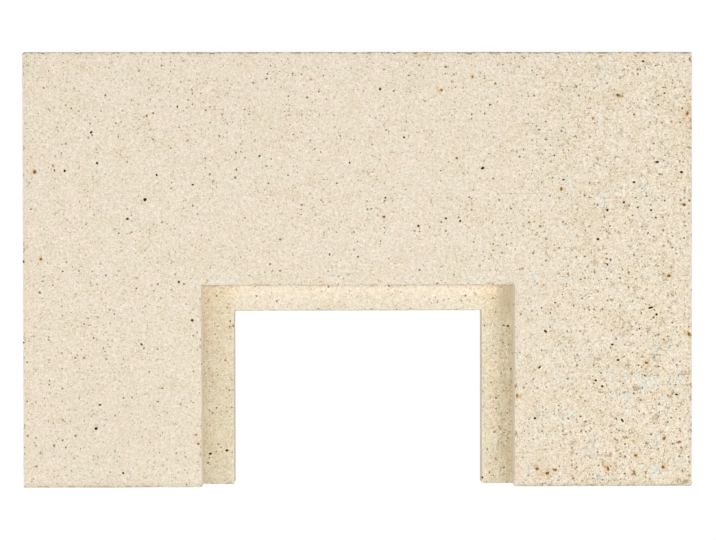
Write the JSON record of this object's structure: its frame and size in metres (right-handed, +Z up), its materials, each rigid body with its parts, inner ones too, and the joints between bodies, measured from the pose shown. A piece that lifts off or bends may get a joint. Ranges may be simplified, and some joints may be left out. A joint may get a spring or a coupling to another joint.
{
  "type": "refractory firebrick",
  "caption": "Flat fired fireclay slab with a rectangular notch in one long edge and a rebate round the notch, for lining a stove or fireplace around an opening.",
  "frame": {"origin": "on the bed face, under the middle of the slab's length and width", "axes": "+X along the slab's length, +Y away from the notched edge, +Z up, out of the rebated face"},
  "size_m": [0.4, 0.26, 0.03],
  "materials": {
    "fireclay": "matt cream fired fireclay with dark and rust-coloured grains"
  },
  "bodies": {
    "root": {"firebrick": "fireclay"}
  },
  "joints": []
}
